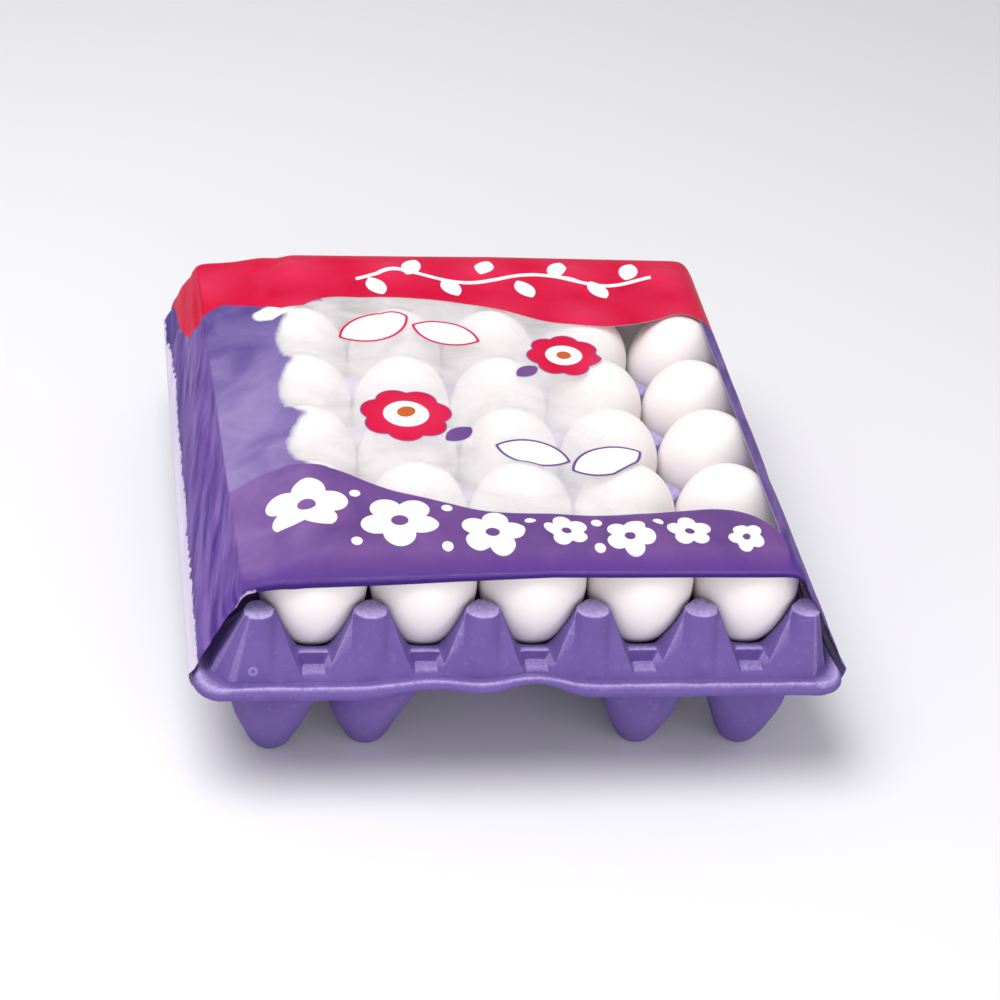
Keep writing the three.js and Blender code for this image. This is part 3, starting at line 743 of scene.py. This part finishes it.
def blossom(x, y, middle, size, turn, petals):
    """Inside distance of a flower with round petals."""
    made = disc(x, y, middle, size * 0.5)
    for i in range(petals):
        angle = math.radians(turn + 360 * i / petals)
        spot = middle[0] + 0.6 * size * math.cos(angle), middle[1] + 0.6 * size * math.sin(angle)
        made = np.maximum(made, disc(x, y, spot, size * 0.4))
    return made


def leaf(x, y, middle, length, turn):
    """Inside distance of a pointed leaf."""
    turn = math.radians(turn)
    dx, dy = x - middle[0], y - middle[1]
    u, v = dx * math.cos(turn) + dy * math.sin(turn), dy * math.cos(turn) - dx * math.sin(turn)
    bow = length * 0.58
    return bow - np.hypot(u, np.abs(v) + math.sqrt(bow ** 2 - (length / 2) ** 2))


def print_fields(x, y):
    """Inside distances of the violet, crimson, white and orange ink on the top of the film."""
    violet = wave(x, VIOLET_WAVE) - y
    crimson = y - wave(x, CRIMSON_WAVE)
    white, orange = np.full(x.shape, OUTSIDE), np.full(x.shape, OUTSIDE)
    # white blossoms with violet hearts along the violet band, and dots between them
    flowers = [((-98, -91), 18, 12), ((-59, -103), 17, 50), ((-20, -111), 14, 5), ((12, -110), 10, 30),
               ((39, -114), 11, 64), ((66, -110), 10, 20), ((90, -115), 8, 40)]
    for middle, size, turn in flowers:
        petals = blossom(x, y, middle, size, turn, 5)
        white = np.maximum(white, np.minimum(petals, -disc(x, y, middle, size * 0.22)))
    for middle in [(-77, -83), (-78, -117), (-38, -94), (-40, -120), (-3, -104), (26, -104), (25, -121), (53, -104)]:
        white = np.maximum(white, disc(x, y, middle, 2.4))
    # a white garland with leaves along the crimson band
    garland = 1.5 - np.abs(y - 104 - 5 * np.sin((x + 60) / 11))
    white = np.maximum(white, np.minimum(garland, np.minimum(x + 66, 88 - x)))
    for i in range(8):
        side = 1 if i % 2 else -1
        white = np.maximum(white, leaf(x, y, (-56 + i * 19, 104 + side * 9.5), 17, 70 * side))
    # pairs of white leaves outlined in crimson and in violet over the clear window
    for middle, length, turn in [((-60, 54), 38, 28), ((-25, 50), 34, -24)]:
        shape = leaf(x, y, middle, length, turn)
        crimson, white = np.maximum(crimson, shape + 0.7), np.maximum(white, shape - 0.7)
    for middle, length, turn in [((5, -52), 34, -22), ((38, -58), 36, 24)]:
        shape = leaf(x, y, middle, length, turn)
        violet, white = np.maximum(violet, shape + 0.7), np.maximum(white, shape - 0.7)
    # two crimson daisies with a thin violet outline, a white ring and an orange heart, each with a violet leaf
    for middle, size, turn, spray in [((-50, -22), 21, 8, (-27, -37)), ((31, 31), 18, 30, (11, 16))]:
        petals = blossom(x, y, middle, size, turn, 7)
        violet = np.maximum(violet, np.maximum(petals + 0.6, leaf(x, y, spray, size * 0.8, 40)))
        crimson = np.maximum(crimson, petals)
        white = np.where(petals > -1, disc(x, y, middle, size * 0.5), white)
        orange = np.maximum(orange, disc(x, y, middle, size * 0.2))
    return violet, crimson, white, orange


def film_sleeve(material):
    """The film from the left tuck over the top to the right tuck, with creases at the folds, wrinkled sides, waving
    hems at the front and the back, and its print."""
    shares = np.concatenate([np.linspace(0, 0.012, 12), np.linspace(0.012, 1, 290)[1:]])[:, None]
    fold_left = FOLD_LEFT + FLARE_FOLD * shares
    top_y = mix(HEM_FRONT, HEM_BACK, shares)
    side_y = mix(SIDE_FRONT, SIDE_BACK, shares)
    egg_x = column_x(COLUMNS - 1)
    wrinkle, fine, broad = Crumple(4), Crumple(5), Crumple(6)

    def flank(sign, fold, rim, downs):
        """A side of the film from its fold (0) to the rim (1), then under the rim (up to 2)."""
        down = np.minimum(downs, 1)
        x = mix(fold, rim, down) + SIDE_BOW * np.sin(np.pi * np.minimum(down / 0.92, 1))
        z = mix(film_height(sign * fold, top_y, fold_left), -RIM_TURN, down)
        under_rim = np.clip(downs - 1, 0, 1)
        turn = np.minimum(under_rim / TUCK_TURN, 1) * math.pi / 2
        straight = (TUCK_LENGTH - TUCK_BEND) * np.maximum(under_rim - TUCK_TURN, 0) / (1 - TUCK_TURN)
        x = x - TUCK_BEND * (1 - np.cos(turn)) - straight
        z = z - (TUCK_DEPTH - RIM_TURN) * np.sin(turn)
        crease = (wrinkle.at(top_y / 46 + down * 1.6, (x - fold) / 5.2 + down * 6 + top_y / 31)
                  + 0.45 * fine.at(top_y / 17, down * 13 + top_y / 23))
        depth = (0.75 + 0.65 * crease) * ease(down, 0.0, 0.12) * (1 - ease(downs, 0.93, 1.0))
        x = x - depth * 0.95
        z = z - depth * 0.3
        y = mix(top_y, side_y, down) + 0 * x
        return np.stack([sign * x, y, z + 0 * y], axis=-1), down + 0 * y, under_rim + 0 * y

    downs = np.concatenate([np.linspace(2, 1.35, 6), np.linspace(1.35, 1, 9)[1:], np.linspace(1, 0, 36)[1:]])[None, :]
    rim_left = -RIM_LEFT + RIM_CLEARANCE + FLARE_RIM * shares
    left, left_down, left_under = flank(-1, fold_left, rim_left, downs)
    rim_right = RIM_RIGHT + RIM_CLEARANCE - np.interp(shares, *STEEPER)
    right, right_down, right_under = flank(1, FOLD_RIGHT + 0 * shares, rim_right, downs)

    xs_left = mix(-fold_left, -egg_x, np.linspace(0, 1, 40)[None, 1:])
    xs_bed = np.linspace(-egg_x, egg_x, 212)[None, 1:-1] + 0 * shares
    xs_right = mix(egg_x, FOLD_RIGHT, np.linspace(0, 1, 24)[None, :-1]) + 0 * shares
    x = np.concatenate([xs_left, xs_bed, xs_right], axis=1)
    y = top_y + 0 * x
    z = film_height(x, y, fold_left)
    # the film rests on the eggs and hangs a little between them
    egg_dx = np.abs(np.mod(x / PITCH_X + 0.5 + (COLUMNS - 1) / 2, 1) - 0.5) * PITCH_X
    egg_dy = np.abs(np.mod(y / PITCH_Y + (ROWS - 1) / 2 + 0.5, 1) - 0.5) * PITCH_Y
    between = 1 - np.exp(-(egg_dx ** 2 + egg_dy ** 2) / (2 * 11.0 ** 2))
    over_bed = ease(-np.abs(x), -egg_x - 12, -egg_x + 4) * ease(-np.abs(y), -122, -108)
    ripple = 0.5 * broad.at(x / 21 + y / 90, y / 33) + 0.3 * fine.at(x / 9 + y / 25, y / 14)
    z = z - over_bed * (1.1 * between + 0.35 + 0.35 * ripple)
    slack = ease(-x, egg_x + 2, egg_x + 12) * ease(fold_left + x, 0.5, 5)
    z = z - slack * (0.9 + 0.9 * ripple + 0.5 * wrinkle.at(x / 11 + y / 40, y / 8 - x / 13))
    z = np.maximum(z, egg_height(x, y) + EGG_GAP)
    # the hems wave a little between the folds
    free = ease(x + fold_left, 0, 12) * ease(FOLD_RIGHT - x, 0, 12)
    front_hem, back_hem = free * ease(-y, 124, 131), free * ease(y, 131, 139)
    z = z - (front_hem + back_hem) * (0.2 + 0.2 * broad.at(x / 34, y * 0 + 3.3))
    y = y + (front_hem - back_hem) * (0.4 + 0.4 * broad.at(x / 31, y * 0 + 7.7))
    top = np.stack([x, y, z], axis=-1)
    rows = np.concatenate([left, top, right[:, ::-1]], axis=1)

    skin = Skin()
    skin.sheet(rows, False)
    points = np.concatenate(skin.points)
    faces = [quad[::-1] for quad in skin.quads[0].tolist()]
    film = new_piece("film_sleeve", points, faces, material, ["sleeve"])

    # inside distances of the fields of ink, in millimetres
    plain_x = np.concatenate([left[..., 0], x, right[:, ::-1, 0]], axis=1)
    plain_y = top_y + 0 * plain_x
    violet, crimson, white, orange = print_fields(np.clip(plain_x, PRINT_LEFT, PRINT_RIGHT), plain_y)
    blank = np.zeros(x.shape)
    down = np.concatenate([left_down, blank, right_down[:, ::-1]], axis=1)
    tucked = np.concatenate([left_under, blank, right_under[:, ::-1]], axis=1)
    is_left = plain_x < 0
    over_fold = np.where(is_left, -(plain_x + fold_left), plain_x - FOLD_RIGHT)
    from_fold = np.where(down > 0, down * SIDE_LENGTH, over_fold)
    on_flank = ease(from_fold, -1, 1)
    on_side = np.where(is_left, on_flank, ease(from_fold, -10, -8))
    tongue = np.where(is_left, wave(down, TONGUE), 68 + 140 * down)
    crimson = mix(crimson, plain_y - tongue, on_flank)
    violet = np.maximum(violet, np.where(is_left, from_fold, from_fold + 9.5))
    white = np.where(from_fold > -8, OUTSIDE, white)
    rough = 2 * broad.at(plain_y / 29, plain_y * 0 + 1.5)
    # the white strip above the left rim, and the pale curled front end of the left fold
    from_rim = (1 - down) * SIDE_LENGTH
    strip = np.where(is_left & (tucked < 0.5), wave(plain_y, STRIP) + rough - from_rim, OUTSIDE)
    from_front = plain_y - HEM_FRONT
    curl = np.where(is_left, np.minimum(0.3 - from_front, 6 + 2 * rough - np.abs(from_fold)), OUTSIDE)
    # the milky, almost opaque slack film between the leftmost eggs and the fold
    contact = np.max([oval(x, top_y, *spot) for spot in CONTACTS], axis=0)
    contact = np.concatenate([left_down * 0 - 20, contact, right_down * 0], axis=1)
    slope = np.where(is_left, np.minimum(-contact, -84 - plain_x), OUTSIDE)
    # painted shade: the dark double film in the back left corner, and a painted shadow line along the crease just
    # inside the right fold
    painted_fold_shade = np.where(is_left, np.minimum(plain_y - 103, (down - 0.5) * SIDE_LENGTH), 0.9 - np.abs(from_fold + 2.5))
    on_top = np.where(down > 0, OUTSIDE, -from_front)
    # the bare film is milky but for its right end, and white along the crimson band and in the back left corner
    along_band = ease(plain_y, 80, 100) * ease(-plain_x, -30, 0)
    back_left = ease(-plain_x, 92, 102) * ease(plain_y, 60, 66)
    haze = np.maximum(0.42 - 0.37 * ease(plain_x, 34, 62), np.maximum(along_band, back_left))
    # the crimson ink is paler where the film lies on an egg
    touch = np.concatenate([0 * left_down, 1 - between, 0 * right_down], axis=1)
    fields = {"violet": violet, "crimson": crimson, "white": white, "orange": orange, "slope": slope, "painted_fold_shade": painted_fold_shade,
              # along the front hem: painted shade, a painted highlight line 1.5 mm above the edge and a painted
              # shadow line at the edge
              "margin": strip, "curl": curl, "hem": 5.0 + on_top, "hem_highlight": 0.1 - np.abs(1.5 + on_top),
              "hem_edge_shade": 0.8 + on_top, "haze": haze, "touch": touch, "flank": on_side,
              # pale: a painted highlight towards the left end of the violet band, and on the slope painted shade that
              # darkens it towards the back
              "pale": np.where(violet > 0, ease(-plain_x, 76, 122), ease(-plain_y, -72, 0))}
    for name, values in fields.items():
        give(film, name, values.reshape(-1))

    steps = np.linalg.norm(np.diff(rows, axis=1), axis=-1)
    across = np.concatenate([np.zeros((len(rows), 1)), np.cumsum(steps, axis=1)], axis=1)
    flat = np.stack([across, plain_y], axis=-1).reshape(-1, 2) * MM
    layer = film.data.uv_layers.new(name="sheet")
    corner = np.zeros(len(film.data.loops), dtype=int)
    film.data.loops.foreach_get("vertex_index", corner)
    layer.data.foreach_set("uv", flat[corner].astype(np.float32).reshape(-1))

    sheet = film.modifiers.new("sheet", "SOLIDIFY")
    sheet.thickness = FILM_SHEET * MM
    sheet.offset = -1
    sheet.use_even_offset = False
    return film


# ---------------------------------------------------------------- floor, light and camera

def floor_and_light():
    mesh = bpy.data.meshes.new("floor")
    mesh.from_pydata([(-3, -3, 0), (3, -3, 0), (3, 3, 0), (-3, 3, 0)], [], [(0, 1, 2, 3)])
    floor = bpy.data.objects.new("floor", mesh)
    bpy.context.collection.objects.link(floor)
    made, tree = new_material("pale_floor")
    shader = add(tree, "ShaderNodeBsdfPrincipled", {"Base Color": linear("#ECEBEF"), "Roughness": 0.8})
    add(tree, "ShaderNodeOutputMaterial", {"Surface": shader.outputs[0]})
    mesh.materials.append(made)

    world = bpy.data.worlds.new("studio")
    bpy.context.scene.world = world
    world.use_nodes = True
    background = world.node_tree.nodes["Background"]
    background.inputs["Color"].default_value = linear("#FFFFFF")
    background.inputs["Strength"].default_value = 0.5

    lights = [("key", (-0.4, -0.2, 1.4), 1.0, 16.5), ("front", (-0.1, -1.4, 0.28), 1.2, 5.0),
              ("side", (0.95, -1.0, 0.25), 0.8, 2.8)]
    for name, place, size, power in lights:
        light = bpy.data.lights.new(name, "AREA")
        light.shape = "DISK"
        light.size = size
        light.energy = power
        lamp = bpy.data.objects.new(name, light)
        lamp.location = place
        lamp.rotation_euler = (Vector((0, 0, 0.05)) - Vector(place)).to_track_quat("-Z", "Y").to_euler()
        bpy.context.collection.objects.link(lamp)
    bpy.context.scene.view_settings.view_transform = "Standard"


def camera():
    lens = bpy.data.cameras.new("camera")
    lens.lens = 71.094
    lens.sensor_width = 36
    made = bpy.data.objects.new("camera", lens)
    heading, pitch, roll = (math.radians(a) for a in (10.408, 35.829, 6.357))
    made.matrix_world = (
        Matrix.Translation(Vector((-127.82, -772.45, 612.59)) * MM)
        @ Matrix.Rotation(-heading, 4, "Z")
        @ Matrix.Rotation(math.pi / 2 - pitch, 4, "X")
        @ Matrix.Rotation(roll, 4, "Z")
    )
    bpy.context.collection.objects.link(made)
    bpy.context.scene.camera = made


camera()
floor_and_light()
pulp_tray(violet_moulded_pulp())
eggs(white_egg_shell())
film_sleeve(printed_polyethylene_film())
